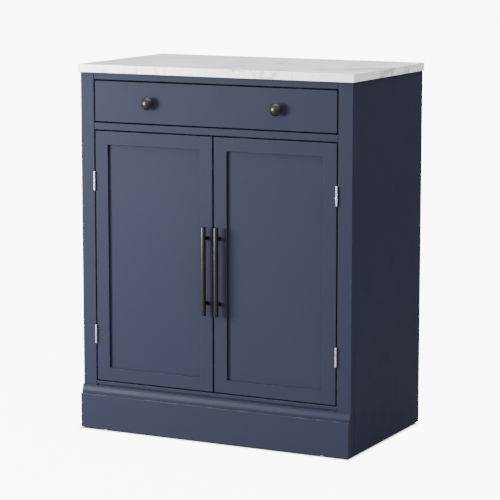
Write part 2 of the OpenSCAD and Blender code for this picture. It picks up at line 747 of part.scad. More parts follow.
module hinge_stile(side) color(paint) set_back() hand(side) difference() {
    block([panel_x[1], door_out], [0, door_t], [door_z0, door_z1]);
    block([panel_x[1] - 1, panel_x[1] + tongue_d], groove_y, [door_z0 - 1, door_z1 + 1]);
    at_door_leaf_screws() short_hole();
}
module free_stile(side) color(paint) set_back() hand(side) difference() {
    block([door_in, panel_x[0]], [0, door_t], [door_z0, door_z1]);
    block([panel_x[0] - tongue_d, panel_x[0] + 1], groove_y, [door_z0 - 1, door_z1 + 1]);
    at_pull_bolts() door_bolt_hole();
}
module door_bolt_hole() translate([0, 0, -1]) cylinder(h = door_t + 2, d = bolt_d + 2 * hole_fit);

// a rail between the stiles, with a stub tenon at each end and a groove on its inner edge
module door_rail(z, groove_z) difference() {
    union() {
        block(panel_x, [0, door_t], z);
        block(panel_x + [-1, 1] * (tongue_d - board_fit), tongue_y, z);
    }
    block(panel_x + [-1, 1] * (tongue_d + 1), groove_y, groove_z);
}
module upper_rail(side) color(paint) set_back() hand(side) difference() {
    door_rail([panel_z[1], door_z1], [panel_z[1] - 1, panel_z[1] + tongue_d]);
    strike_hole();
}
module lower_rail(side) color(paint) set_back() hand(side)
    door_rail([door_z0, panel_z[0]], [panel_z[0] - tongue_d, panel_z[0] + 1]);
module door_panel(side) color(paint) set_back() hand(side)
    block(panel_x + [-1, 1] * panel_in_groove, tongue_y, panel_z + [-1, 1] * panel_in_groove);

module strike_hole()
    rod_y(catch_x, door_t - strike_prong_l - hole_spare, door_t + 1, strike_z,
        strike_prong_d + 2 * hole_fit);
module strike_plate(side) color(zinc) set_back() hand(side) {
    block(around(catch_x, strike_w / 2), [door_t, door_t + strike_t], around(strike_z, strike_h / 2));
    rod_y(catch_x, door_t - strike_prong_l, door_t, strike_z, strike_prong_d);
}
module magnetic_catches() color(plastic) set_back() for (s = [-1, 1]) hand(s) difference() {
    y = [catch_body_y0, catch_y1];
    union() {
        block(around(catch_x, catch_w / 2), y, [divider_z0 - catch_h, divider_z0]);
        block(around(catch_x, catch_w / 2 + catch_ear_w), y, [divider_z0 - catch_ear_h, divider_z0]);
        // a nose under the middle rail, where the frame is thicker than the door
        if (catch_body_y0 > catch_y0)
            block(around(catch_x, catch_w / 2), [catch_y0, catch_y1],
                [divider_z0 - catch_h, min(divider_z0, door_open_top) - catch_gap]);
    }
    at_catch_screws() short_hole();
}

// a bar pull: a round bar on two posts
module pull(side) color(bronze) set_back() hand(side) difference() {
    union() {
        rod_z(pull_x, -pull_reach, pull_z - pull_l / 2, pull_z + pull_l / 2, pull_d);
        for (k = [-1, 1]) rod_y(pull_x, -pull_reach, 0, pull_z + k * pull_span / 2, post_d);
    }
    for (k = [-1, 1])
        rod_y(pull_x, -bolt_grip - hole_spare, 1, pull_z + k * pull_span / 2, bolt_d + 2 * hole_fit);
}
module door_screws(side) color(zinc) set_back() hand(side) {
    at_door_leaf_screws() short_screw();
    at_pull_bolts() machine_bolt(door_t + bolt_grip);
}

// one knuckle of the barrel, and the gap that the other leaf leaves round it
module knuckle(i)
    translate([pin_x, pin_y, (i - 1.5) * knuckle_l + (i - 1) * knuckle_gap])
        cylinder(h = knuckle_l, d = barrel_d);
module knuckle_room(i)
    translate([pin_x, pin_y, (i - 1.5) * knuckle_l + (i - 2) * knuckle_gap])
        cylinder(h = knuckle_l + 2 * knuckle_gap, d = barrel_d + 2 * knuckle_gap);
module hinge_bore()
    translate([pin_x, pin_y, -hinge_l]) cylinder(h = 2 * hinge_l, d = hinge_pin_d + 2 * hole_fit);

module hinge_leaf(x, own, others) difference() {
    union() {
        block(x, [pin_y, leaf_w], [-1, 1] * hinge_l / 2);
        for (i = own)
            knuckle(i);
    }
    for (i = others)
        knuckle_room(i);
    hinge_bore();
}
module frame_hinge_leaves() color(nickel) set_back() for (s = [-1, 1]) hand(s) difference() {
    for (h = hinge_zs)
        translate([0, 0, h]) hinge_leaf([open_half - leaf_t, open_half], [0, 2], [1]);
    at_frame_leaf_screws() short_hole();
}
module door_leaves(side) color(nickel) set_back() hand(side) difference() {
    for (h = hinge_zs)
        translate([0, 0, h]) hinge_leaf([door_out, door_out + leaf_t], [1], [0, 2]);
    at_door_leaf_screws() short_hole();
}
module hinge_pins() color(nickel) set_back() for (s = [-1, 1], h = hinge_zs)
    hand(s) translate([pin_x, pin_y, h]) {
        translate([0, 0, -hinge_l / 2]) cylinder(h = hinge_l, d = hinge_pin_d);
        for (k = [0, 1])
            mirror([0, 0, k]) translate([0, 0, hinge_l / 2])
                cylinder(h = finial_h, d1 = barrel_d - finial_in, d2 = barrel_d - 2 * finial_h);
    }

module left_hinge_stile() hinge_stile(-1);
module left_free_stile() free_stile(-1);
module left_upper_rail() upper_rail(-1);
module left_lower_rail() lower_rail(-1);
module left_door_panel() door_panel(-1);
module left_pull() pull(-1);
module left_door_leaves() door_leaves(-1);
module left_strike_plate() strike_plate(-1);
module left_door_screws() door_screws(-1);
module right_hinge_stile() hinge_stile(1);
module right_free_stile() free_stile(1);
module right_upper_rail() upper_rail(1);
module right_lower_rail() lower_rail(1);
module right_door_panel() door_panel(1);
module right_pull() pull(1);
module right_door_leaves() door_leaves(1);
module right_strike_plate() strike_plate(1);
module right_door_screws() door_screws(1);

worktop();
left_side_panel();
right_side_panel();
back_panel();
bottom_panel();
divider_panel();
shelf();
shelf_pins();
left_face_stile();
right_face_stile();
top_rail();
middle_rail();
bottom_rail();
plinth_board();
front_stretcher();
rear_stretcher();
rear_base_rail();
floor_glides();
long_screws();
short_screws();
cam_fittings();
dowels();
slide_packers();
left_slide_outer();
right_slide_outer();
left_slide_middle();
right_slide_middle();
left_slide_inner();
right_slide_inner();
magnetic_catches();
frame_hinge_leaves();
hinge_pins();
drawer_front();
drawer_left_side();
drawer_right_side();
drawer_inner_front();
drawer_back();
drawer_bottom();
drawer_screws();
left_knob();
right_knob();
knob_screws();
left_hinge_stile();
left_free_stile();
left_upper_rail();
left_lower_rail();
left_door_panel();
left_pull();
left_door_leaves();
left_strike_plate();
left_door_screws();
right_hinge_stile();
right_free_stile();
right_upper_rail();
right_lower_rail();
right_door_panel();
right_pull();
right_door_leaves();
right_strike_plate();
right_door_screws();
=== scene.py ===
from math import pi, radians

import bmesh
import bpy
import numpy as np
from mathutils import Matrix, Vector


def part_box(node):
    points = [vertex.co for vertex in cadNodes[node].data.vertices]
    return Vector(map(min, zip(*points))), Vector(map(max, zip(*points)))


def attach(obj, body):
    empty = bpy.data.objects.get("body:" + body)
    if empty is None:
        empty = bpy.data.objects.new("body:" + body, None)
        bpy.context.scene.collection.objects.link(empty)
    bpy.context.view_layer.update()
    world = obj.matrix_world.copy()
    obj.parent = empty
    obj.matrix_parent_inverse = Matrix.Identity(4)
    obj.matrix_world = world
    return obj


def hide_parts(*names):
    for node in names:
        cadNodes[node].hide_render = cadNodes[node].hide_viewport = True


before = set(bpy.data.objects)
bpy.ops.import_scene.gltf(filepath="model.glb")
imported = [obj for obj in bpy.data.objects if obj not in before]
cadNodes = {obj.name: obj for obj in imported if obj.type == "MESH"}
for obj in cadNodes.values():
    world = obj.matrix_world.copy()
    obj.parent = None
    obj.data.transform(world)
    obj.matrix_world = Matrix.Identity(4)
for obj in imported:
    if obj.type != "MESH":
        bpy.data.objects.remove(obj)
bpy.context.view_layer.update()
shown = {}  # every new piece by name
print("frame loaded:", len(cadNodes), "nodes")


def span(*nodes):
    # lowest and highest corner over the named nodes
    ends = np.array([[list(corner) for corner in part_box(node)] for node in nodes])
    return ends[:, 0].min(axis=0), ends[:, 1].max(axis=0)


def gridQuads(rows, columns, closedRows=False):
    # quad (i, j), (i, j+1), (i+1, j+1), (i+1, j): j always runs round, i only when asked
    rowNumbers = np.arange(rows if closedRows else rows - 1)
    i, j = np.meshgrid(rowNumbers, np.arange(columns), indexing="ij")
    up = (i + 1) % rows
    along = (j + 1) % columns
    quads = [i * columns + j, i * columns + along, up * columns + along, up * columns + j]
    return np.stack(quads, axis=-1).reshape(-1, 4).tolist()


def endCaps(rows, columns):
    # the first and the last row of a grid, each as one face
    return [list(range(columns)), list(range((rows - 1) * columns, rows * columns))]


def arc(centre, radius, start, steps=4):
    # a quarter circle: centre + radius * (cos t, sin t), t from start degrees, a quarter turn on
    t = np.radians(start) + np.linspace(0, pi / 2, steps + 1)
    return np.asarray(centre) + radius * np.stack([np.cos(t), np.sin(t)], axis=-1)


def joined(stretches):
    # one outline from stretches of (points, edge marks), end to end
    points = np.concatenate([np.asarray(stretch[0], float) for stretch in stretches])
    marks = np.concatenate([np.asarray(stretch[1], float) for stretch in stretches])
    return points, marks


def roundedBoard(low, high, radius, steps=3, middleFall=0.29):
    # a ball carried over a smaller box: corner + radius * (cos a cos b, cos a sin b, sin a),
    # a from pole to pole and b all round, each waiting while the point crosses a flat; the edge
    # mark is 1 where the normal's largest part falls short of 1 by middleFall
    quarter = np.linspace(0, pi / 2, steps + 1)
    a = np.concatenate([quarter - pi / 2, quarter])
    b = np.concatenate([quarter + k * pi / 2 for k in range(4)])
    outward = np.stack([
        np.outer(np.cos(a), np.cos(b)),
        np.outer(np.cos(a), np.sin(b)),
        np.outer(np.sin(a), np.ones(len(b))),
    ], axis=-1)
    sign = np.empty_like(outward)
    sign[..., 0] = np.repeat([1, -1, -1, 1], steps + 1)
    sign[..., 1] = np.repeat([1, 1, -1, -1], steps + 1)
    sign[..., 2] = np.repeat([-1, 1], steps + 1)[:, None]
    half = (np.asarray(high) - low) / 2 - radius
    points = (np.asarray(high) + low) / 2 + sign * half + radius * outward
    edge = np.clip((1 - np.abs(outward).max(axis=-1)) / middleFall, 0, 1)
    rows, columns = len(a), len(b)
    firsts = [k * (steps + 1) for k in range(4)]
    caps = [firsts, [(rows - 1) * columns + k for k in firsts]]
    return points.reshape(-1, 3), gridQuads(rows, columns) + caps, edge.ravel()


def turnedShape(profile, marks, origin, axis, segments):
    # (radius, height) pairs spun: origin + height * axis + radius * (cos t * side + sin t * other)
    axis = np.asarray(axis, float)
    side = np.array([0, 0, 1.0]) if abs(axis[2]) < 0.5 else np.array([1.0, 0, 0])
    other = np.cross(axis, side)
    t = np.arange(segments) * 2 * pi / segments
    ring = np.cos(t)[:, None] * side + np.sin(t)[:, None] * other
    points = np.asarray(origin) + profile[:, 1, None, None] * axis + profile[:, 0, None, None] * ring
    faces = gridQuads(len(profile), segments) + endCaps(len(profile), segments)
    return points.reshape(-1, 3), faces, np.repeat(marks, segments)


def mouldedStrip(section, marks, left, right, ease, steps=3):
    # a closed (y, z) section carried along x; by each end it draws in along its own normals
    # by ease * (1 - sin t) while x nears the end by ease * (1 - cos t)
    tangent = np.roll(section, -1, axis=0) - np.roll(section, 1, axis=0)
    tangent /= np.linalg.norm(tangent, axis=1)[:, None]
    ahead = np.roll(section, -1, axis=0)
    area = np.sum(section[:, 0] * ahead[:, 1] - section[:, 1] * ahead[:, 0])
    inward = np.stack([-tangent[:, 1], tangent[:, 0]], axis=-1) * np.sign(area)
    t = np.linspace(0, pi / 2, steps + 1)
    x = np.concatenate([left + ease * (1 - np.cos(t)), right - ease * (1 - np.cos(t[::-1]))])
    drawn = np.concatenate([ease * (1 - np.sin(t)), ease * (1 - np.sin(t[::-1]))])
    flat = section + drawn[:, None, None] * inward
    points = np.concatenate([np.broadcast_to(x[:, None, None], flat.shape[:2] + (1,)), flat], axis=-1)
    faces = gridQuads(len(x), len(section)) + endCaps(len(x), len(section))
    ends = np.clip(np.sin(2 * np.concatenate([t, t[::-1]])), 0, 1)
    edge = np.maximum(marks[None, :], ends[:, None])
    return points.reshape(-1, 3), faces, edge.ravel()


def framedRing(low, high, section, marks, turn, steps=3):
    # a closed (inward, depth) section carried round a rectangle in x and z; at a corner each
    # point turns on a radius of turn - inward, or on a mitre once that is used up
    quarter = np.linspace(0, pi / 2, steps + 1)
    angle = np.concatenate([quarter + k * pi / 2 for k in range(4)])
    signX = np.repeat([1, -1, -1, 1], steps + 1)
    signZ = np.repeat([1, 1, -1, -1], steps + 1)
    cornerX = np.where(signX > 0, high[0], low[0])
    cornerZ = np.where(signZ > 0, high[2], low[2])
    inward = section[:, 0][:, None]
    radius = np.maximum(turn - inward, 0)
    x = cornerX - signX * (inward + radius) + radius * np.cos(angle)
    z = cornerZ - signZ * (inward + radius) + radius * np.sin(angle)
    y = np.broadcast_to(low[1] + section[:, 1][:, None], x.shape)
    points = np.stack([x, y, z], axis=-1).reshape(-1, 3)
    return points, gridQuads(len(section), len(angle), True), np.repeat(marks, len(angle))


meshSettings = {"merge": 1e-7, "sharp": 40, "curvedSharp": 50, "flatWeight": 60}


def makePiece(name, parts, body, material, replaced, sharp=meshSettings["sharp"]):
    # joins the parts into one object at the origin, merges its poles and seams, turns its faces out
    mesh = bpy.data.meshes.new(name)
    offsets = np.cumsum([0] + [len(part[0]) for part in parts])
    points = np.concatenate([part[0] for part in parts])
    faces = [[int(v + offset) for v in face] for part, offset in zip(parts, offsets) for face in part[1]]
    mesh.from_pydata(points.tolist(), [], faces)
    mark = mesh.attributes.new("edge", "FLOAT", "POINT")
    mark.data.foreach_set("value", np.concatenate([part[2] for part in parts]).astype(np.float32))
    work = bmesh.new()
    work.from_mesh(mesh)
    bmesh.ops.remove_doubles(work, verts=work.verts, dist=meshSettings["merge"])
    bmesh.ops.recalc_face_normals(work, faces=work.faces)
    work.to_mesh(mesh)
    work.free()
    return finishPiece(name, mesh, body, material, replaced, sharp)


def finishPiece(name, mesh, body, material, replaced, sharp):
    # smooth faces with hard edges over sharp degrees, one material, and its place in the assembly
    mesh.shade_smooth()
    mesh.set_sharp_from_angle(angle=radians(sharp))
    mesh.materials.clear()
    mesh.materials.append(material)
    piece = bpy.data.objects.new(name, mesh)
    bpy.context.scene.collection.objects.link(piece)
    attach(piece, body)
    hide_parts(*replaced)
    shown[name] = piece
    return piece


def flatNormals(piece):
    # wide flats keep their own normal beside a narrow rounded edge
    weighted = piece.modifiers.new("flats", "WEIGHTED_NORMAL")
    weighted.mode = "FACE_AREA"
    weighted.weight = meshSettings["flatWeight"]
    weighted.keep_sharp = True


easeSettings = {
    "merge": 1e-6,
    "flatAngle": 0.5,
    "cornerAngle": 35,
    "segments": 2,
    "sharp": 30,
    "board": {"width": 0.0006, "shortest": 0.02},
    "small": {"width": 0.0002, "shortest": 0.004},
}


def easedCopy(node, body, material, slotName, settings, width, shortest):
    # the CAD shape again: every edge longer than shortest, where two faces meet at more than the
    # corner angle, is rounded over by width
    name = node + "_eased"
    work = bmesh.new()
    work.from_mesh(cadNodes[node].data)
    bmesh.ops.remove_doubles(work, verts=work.verts, dist=settings["merge"])
    bmesh.ops.dissolve_limit(work, angle_limit=radians(settings["flatAngle"]), verts=work.verts,
                             edges=work.edges)
    mesh = bpy.data.meshes.new(name)
    work.to_mesh(mesh)
    work.edges.ensure_lookup_table()
    corner = radians(settings["cornerAngle"])
    weights = [
        1.0 if edge.calc_length() > shortest and len(edge.link_faces) == 2
        and edge.calc_face_angle(0) > corner else 0.0 for edge in work.edges
    ]
    work.free()
    mark = mesh.attributes.new("bevel_weight_edge", "FLOAT", "EDGE")
    mark.data.foreach_set("value", np.array(weights, np.float32))
    piece = finishPiece(name, mesh, body, material, [node], settings["sharp"])
    bevel = piece.modifiers.new("ease", "BEVEL")
    bevel.width = width
    bevel.segments = settings["segments"]
    bevel.limit_method = "WEIGHT"
    bevel.use_clamp_overlap = False
    flatNormals(piece)


def place(tree, kind, feeds=None, **settings):
    # a shader node with its settings; a fed value is a socket to link or a number to set
    node = tree.nodes.new("ShaderNode" + kind)
    for key, value in settings.items():
        setattr(node, key, value)
    for key, value in (feeds or {}).items():
        if isinstance(value, bpy.types.NodeSocket):
            tree.links.new(value, node.inputs[key])
        else:
            node.inputs[key].default_value = value
    return node


def calc(tree, operation, a, b=0.0, clamp=False):
    # one step of arithmetic on two values
    return place(tree, "Math", {0: a, 1: b}, operation=operation, use_clamp=clamp).outputs[0]


def twoParts(tree, a, share, b):
    # a * share + b * (1 - share)
    return calc(tree, "ADD", calc(tree, "MULTIPLY", a, share), calc(tree, "MULTIPLY", b, 1 - share))


def remap(tree, value, low, high, newLow=0.0, newHigh=1.0):
    # smooth step from newLow to newHigh while the value goes from low to high
    feeds = {"Value": value, "From Min": low, "From Max": high, "To Min": newLow, "To Max": newHigh}
    return place(tree, "MapRange", feeds, interpolation_type="SMOOTHSTEP").outputs[0]


def blendColour(tree, factor, a, b):
    # a where the factor is 0, b where it is 1
    return place(tree, "Mix", {0: factor, 6: a, 7: b}, data_type="RGBA").outputs[2]


def noise(tree, vector, scale, detail=3.0, rough=0.5):
    # one value of soft noise
    feeds = {"Vector": vector, "Scale": scale, "Detail": detail, "Roughness": rough}
    return place(tree, "TexNoise", feeds).outputs[0]


def vectorStep(tree, operation, a, b):
    # one step of arithmetic on two vectors, or on a vector and a scale
    second = "Scale" if operation == "SCALE" else 1
    return place(tree, "VectorMath", {0: a, second: b}, operation=operation).outputs[0]


def warpVector(tree, vector, scale, detail, middle, reach):
    # vector + (coloured noise - middle) * reach
    feeds = {"Vector": vector, "Scale": scale, "Detail": detail}
    colour = place(tree, "TexNoise", feeds).outputs["Color"]
    moved = vectorStep(tree, "SUBTRACT", colour, (middle, middle, middle))
    return vectorStep(tree, "ADD", vector, vectorStep(tree, "SCALE", moved, reach))


def newGroup(name, inputs, outputs):
    # a shader group with named sockets; gives the tree and its two end nodes
    tree = bpy.data.node_groups.new(name, "ShaderNodeTree")
    for socketName, kind, default in inputs:
        made = tree.interface.new_socket(socketName, in_out="INPUT", socket_type="NodeSocket" + kind)
        if default is not None:
            made.default_value = default
    for socketName in outputs:
        tree.interface.new_socket(socketName, in_out="OUTPUT", socket_type="NodeSocketFloat")
    return tree, tree.nodes.new("NodeGroupInput").outputs, tree.nodes.new("NodeGroupOutput").inputs


def useGroup(tree, group, feeds):
    # the group's outputs, with its inputs fed
    return place(tree, "Group", feeds, node_tree=group).outputs


rubAndHighlightSettings = {
    "patches": {"scale": 38.0, "detail": 4.0},
    "patchSpan": (0.42, 0.68),
    "fine": {"scale": 420.0, "detail": 2.0},
    "fineSpan": (0.35, 0.7),
}


def buildEdgeRubAndHighlight(settings):
    # where edges turn lighter, as handling wear and as a painted highlight: patches * fine noise * edge
    # mark * amount, 1 at most
    inputs = [("Vector", "Vector", None), ("Amount", "Float", 0.5)]
    tree, given, out = newGroup("edgeRubAndHighlight", inputs, ["Mask"])
    edge = place(tree, "Attribute", attribute_name="edge").outputs["Fac"]
    patches = remap(tree, noise(tree, given["Vector"], **settings["patches"]), *settings["patchSpan"])
    fine = remap(tree, noise(tree, given["Vector"], **settings["fine"]), *settings["fineSpan"])
    broken = calc(tree, "MULTIPLY", calc(tree, "MULTIPLY", patches, fine), edge)
    tree.links.new(calc(tree, "MULTIPLY", broken, given["Amount"], True), out["Mask"])
    return tree


mottleSettings = {
    "broad": {"detail": 2.0},
    "broadShare": 0.65,
    "middle": {"detail": 4.0, "rough": 0.6},
    "middleTimes": 6.0,
    "toneSpan": (0.3, 0.7),
    "smears": {"detail": 5.0, "rough": 0.62},
    "smearTimes": 2.6,
    "filmSpan": (0.45, 0.75),
}


def buildSoftMottle(settings):
    # slow drift of tone, and a light film of dust and finger marks
    inputs = [("Vector", "Vector", None), ("Scale", "Float", 5.0)]
    tree, given, out = newGroup("softMottle", inputs, ["Tone", "Film"])
    middleScale = calc(tree, "MULTIPLY", given["Scale"], settings["middleTimes"])
    smearScale = calc(tree, "MULTIPLY", given["Scale"], settings["smearTimes"])
    broad = noise(tree, given["Vector"], given["Scale"], **settings["broad"])
    middle = noise(tree, given["Vector"], middleScale, **settings["middle"])
    smears = noise(tree, given["Vector"], smearScale, **settings["smears"])
    both = twoParts(tree, broad, settings["broadShare"], middle)
    tree.links.new(remap(tree, both, *settings["toneSpan"]), out["Tone"])
    tree.links.new(remap(tree, smears, *settings["filmSpan"]), out["Film"])
    return tree


stippleSettings = {
    "coarse": {"detail": 1.0},
    "coarseShare": 0.75,
    "fine": {"detail": 2.0},
    "fineTimes": 3.1,
}


def buildRollerStipple(settings):
    # the shallow orange peel that a sprayed or rolled coat dries with
    inputs = [("Vector", "Vector", None), ("Scale", "Float", 520.0)]
    tree, given, out = newGroup("rollerStipple", inputs, ["Height"])
    fineScale = calc(tree, "MULTIPLY", given["Scale"], settings["fineTimes"])
    coarse = noise(tree, given["Vector"], given["Scale"], **settings["coarse"])
    fine = noise(tree, given["Vector"], fineScale, **settings["fine"])
    tree.links.new(twoParts(tree, coarse, settings["coarseShare"], fine), out["Height"])
    return tree


veinSettings = {
    "warp": {"scale": 7.0, "detail": 5.0, "middle": 0.5, "reach": 0.11},
    "stretch": (1.0, 0.24, 0.5),
    "field": {"detail": 3.0, "rough": 0.45},
    "breaks": {"scale": 6.5, "detail": 2.0},
    "breakSpan": (0.38, 0.56),
}


def buildVeins(settings):
    # stone veins: the thin level line where a warped, stretched noise passes 0.5, with breaks
    inputs = [("Vector", "Vector", None), ("Turn", "Float", 0.0), ("Scale", "Float", 4.0),
              ("Width", "Float", 0.02)]
    tree, given, out = newGroup("stoneVeins", inputs, ["Line"])
    bent = warpVector(tree, given["Vector"], **settings["warp"])
    turned = place(tree, "VectorRotate", {"Vector": bent, "Angle": given["Turn"]},
                   rotation_type="Z_AXIS").outputs[0]
    drawn = vectorStep(tree, "MULTIPLY", turned, settings["stretch"])
    field = noise(tree, drawn, given["Scale"], **settings["field"])
    level = calc(tree, "ABSOLUTE", calc(tree, "SUBTRACT", field, 0.5))
    line = calc(tree, "SUBTRACT", 1.0, remap(tree, level, 0.0, given["Width"]))
    breaks = remap(tree, noise(tree, turned, **settings["breaks"]), *settings["breakSpan"])
    tree.links.new(calc(tree, "MULTIPLY", line, breaks), out["Line"])
    return tree


grainSettings = {
    "warp": {"scale": 9.0, "detail": 2.0, "middle": 0.0, "reach": 0.05},
    "figure": {"scale": 55.0, "detail": 4.0, "rough": 0.6},
    "figureSpan": (0.3, 0.7),
    "poreScale": 420.0,
    "poreSpan": (0.06, 0.22),
}


def buildWoodFigure(settings):
    # grain: noise drawn out along one direction, with short dark pores on it
    inputs = [("Vector", "Vector", None), ("Stretch", "Vector", (1.0, 1.0, 1.0))]
    tree, given, out = newGroup("woodFigure", inputs, ["Figure", "Pores"])
    drawn = vectorStep(tree, "MULTIPLY", given["Vector"], given["Stretch"])
    bent = warpVector(tree, drawn, **settings["warp"])
    figure = remap(tree, noise(tree, bent, **settings["figure"]), *settings["figureSpan"])
    tree.links.new(figure, out["Figure"])
    pores = place(tree, "TexVoronoi", {"Vector": bent, "Scale": settings["poreScale"]}).outputs["Distance"]
    away = remap(tree, pores, *settings["poreSpan"])
    tree.links.new(calc(tree, "SUBTRACT", 1.0, away), out["Pores"])
    return tree


brushSettings = {
    "wide": {"scale": 700.0, "detail": 2.0},
    "wideShare": 0.6,
    "narrow": {"scale": 2600.0, "detail": 1.0},
}


def buildBrushLines(settings):
    # fine parallel scratches from polishing, drawn out along one direction
    inputs = [("Vector", "Vector", None), ("Stretch", "Vector", (1.0, 1.0, 1.0))]
    tree, given, out = newGroup("brushLines", inputs, ["Lines"])
    drawn = vectorStep(tree, "MULTIPLY", given["Vector"], given["Stretch"])
    wide = noise(tree, drawn, **settings["wide"])
    narrow = noise(tree, drawn, **settings["narrow"])
    tree.links.new(twoParts(tree, wide, settings["wideShare"], narrow), out["Lines"])
    return tree


groups = {
    "rubAndHighlight": buildEdgeRubAndHighlight(rubAndHighlightSettings),
    "mottle": buildSoftMottle(mottleSettings),
    "stipple": buildRollerStipple(stippleSettings),
    "veins": buildVeins(veinSettings),
    "grain": buildWoodFigure(grainSettings),
    "brush": buildBrushLines(brushSettings),
}


def newMaterial(name, fixed):
    # a material with its shader's constant sockets set; gives material, tree, shader and coordinates
    material = bpy.data.materials.new(name)
    material.use_nodes = True
    tree = material.node_tree
    shader = tree.nodes["Principled BSDF"]
    for key, value in fixed.items():
        shader.inputs[key].default_value = value
    return material, tree, shader, tree.nodes.new("ShaderNodeTexCoord").outputs["Object"]


def bumpFrom(tree, shader, height, strength, distance):
    # the shader's normal tilted by a height that varies over the surface
    bump = place(tree, "Bump", {"Height": height, "Strength": strength, "Distance": distance})
    tree.links.new(bump.outputs[0], shader.inputs["Normal"])


paintLook = {
    "colour": (0.0215, 0.0238, 0.0410, 1),
    "shade": (0.0206, 0.0229, 0.0395, 1),
    # lighter paint on the edges: wear, together with a painted highlight along them
    "wornAndHighlight": (0.080, 0.090, 0.125, 1),
    "mottleScale": 3.2,
    "rubAndHighlightAmount": 0.6,
    "rough": (0.50, 0.55),
    "stippleScale": 560.0,
    "bump": (0.10, 0.0004),
    "shader": {"Specular IOR Level": 0.04},
}
# the moulding's paint: glossier, and a little darker than the cabinet paint as painted shade against its
# stronger sheen
glossierShadedLook = {
    **paintLook,
    "colour": (0.0208, 0.0230, 0.0398, 1),
    "shade": (0.0200, 0.0222, 0.0384, 1),
    "rough": (0.42, 0.46),
    "shader": {"Specular IOR Level": 0.065},
}


def cabinetPaint(name, look):
    # two close tones mottled together, lighter at the edges as wear and as a painted highlight, with a
    # faint stipple
    material, tree, shader, coords = newMaterial(name, look["shader"])
    mottle = useGroup(tree, groups["mottle"], {"Vector": coords, "Scale": look["mottleScale"]})
    rubAndHighlight = useGroup(tree, groups["rubAndHighlight"], {"Vector": coords, "Amount": look["rubAndHighlightAmount"]})
    stipple = useGroup(tree, groups["stipple"], {"Vector": coords, "Scale": look["stippleScale"]})
    base = blendColour(tree, mottle["Tone"], look["shade"], look["colour"])
    # the edges take the lighter colour: wear mixed with a painted highlight
    tree.links.new(blendColour(tree, rubAndHighlight["Mask"], base, look["wornAndHighlight"]), shader.inputs["Base Color"])
    tree.links.new(remap(tree, mottle["Film"], 0.0, 1.0, *look["rough"]), shader.inputs["Roughness"])
    bumpFrom(tree, shader, stipple["Height"], *look["bump"])
    return material


stoneLook = {
    "white": (0.84, 0.84, 0.825, 1),
    "cloud": (0.78, 0.78, 0.775, 1),
    "clouds": {"scale": 5.0, "detail": 4.0, "rough": 0.55},
    "cloudSpan": (0.35, 0.72),
    "vein": (0.27, 0.27, 0.28, 1),
    "boldVeins": {"Turn": 0.95, "Scale": 4.6, "Width": 0.013},
    "boldShare": 0.7,
    "fineVein": (0.42, 0.42, 0.43, 1),
    "fineVeins": {"Turn": 0.62, "Scale": 13.0, "Width": 0.016},
    "fineShare": 0.75,
    "filmScale": 4.0,
    "rough": (0.30, 0.42),
    "polish": {"scale": 900.0, "detail": 2.0},
    "bump": (0.03, 0.0003),
    "shader": {"Specular IOR Level": 0.5, "Coat Weight": 0.25, "Coat Roughness": 0.16},
}


def stoneTop(look):
    # clouded white under fine grey veins, under a few bold ones
    material, tree, shader, coords = newMaterial("stoneTop", look["shader"])
    clouds = remap(tree, noise(tree, coords, **look["clouds"]), *look["cloudSpan"])
    base = blendColour(tree, clouds, look["white"], look["cloud"])
    bold = useGroup(tree, groups["veins"], {"Vector": coords, **look["boldVeins"]})
    fine = useGroup(tree, groups["veins"], {"Vector": coords, **look["fineVeins"]})
    veined = blendColour(tree, calc(tree, "MULTIPLY", fine["Line"], look["fineShare"]), base,
                         look["fineVein"])
    strong = calc(tree, "MULTIPLY", bold["Line"], look["boldShare"])
    tree.links.new(blendColour(tree, strong, veined, look["vein"]), shader.inputs["Base Color"])
    mottle = useGroup(tree, groups["mottle"], {"Vector": coords, "Scale": look["filmScale"]})
    tree.links.new(remap(tree, mottle["Film"], 0.0, 1.0, *look["rough"]), shader.inputs["Roughness"])
    bumpFrom(tree, shader, noise(tree, coords, **look["polish"]), *look["bump"])
    return material


woodLook = {
    "pale": (0.60, 0.44, 0.27, 1),
    "deep": (0.42, 0.28, 0.155, 1),
    "pore": (0.26, 0.165, 0.09, 1),
    "mottleScale": 4.5,
    "paleShare": 0.3,
    "poreShare": 0.35,
    "rough": (0.62, 0.5),
    "bump": (0.18, 0.0004),
    "shader": {"Specular IOR Level": 0.35},
}


def rawBoard(name, stretch, look):
    # bare wood: deep and pale figure, paler in broad patches, with pores
    material, tree, shader, coords = newMaterial(name, look["shader"])
    grain = useGroup(tree, groups["grain"], {"Vector": coords, "Stretch": stretch})
    mottle = useGroup(tree, groups["mottle"], {"Vector": coords, "Scale": look["mottleScale"]})
    base = blendColour(tree, grain["Figure"], look["deep"], look["pale"])
    patches = calc(tree, "MULTIPLY", mottle["Tone"], look["paleShare"])
    toned = blendColour(tree, patches, base, look["pale"])
    pores = calc(tree, "MULTIPLY", grain["Pores"], look["poreShare"])
    tree.links.new(blendColour(tree, pores, toned, look["pore"]), shader.inputs["Base Color"])
    tree.links.new(remap(tree, grain["Figure"], 0.0, 1.0, *look["rough"]), shader.inputs["Roughness"])
    bumpFrom(tree, shader, grain["Figure"], *look["bump"])
    return material


nickelLook = {
    "colour": (0.74, 0.73, 0.71, 1),
    "dark": (0.66, 0.65, 0.63, 1),
    "wornAndHighlight": 1.6,
    "mottleScale": 30.0,
    "rubAndHighlightAmount": 0.5,
    "rough": 0.20,
    "lineRough": 0.12,
    "filmRough": 0.07,
    "stretch": (1, 1, 0.05),
    "bump": (0.12, 0.0001),
    "shader": {"Metallic": 1.0},
}
bronzeLook = {
    **nickelLook,
    "colour": (0.030, 0.0285, 0.0255, 1),
    "dark": (0.026, 0.0247, 0.022, 1),
    "rough": 0.29,
    "stretch": (1, 1, 0.04),
    "shader": {"Metallic": 0.9, "Coat Weight": 0.22, "Coat Roughness": 0.16},
}


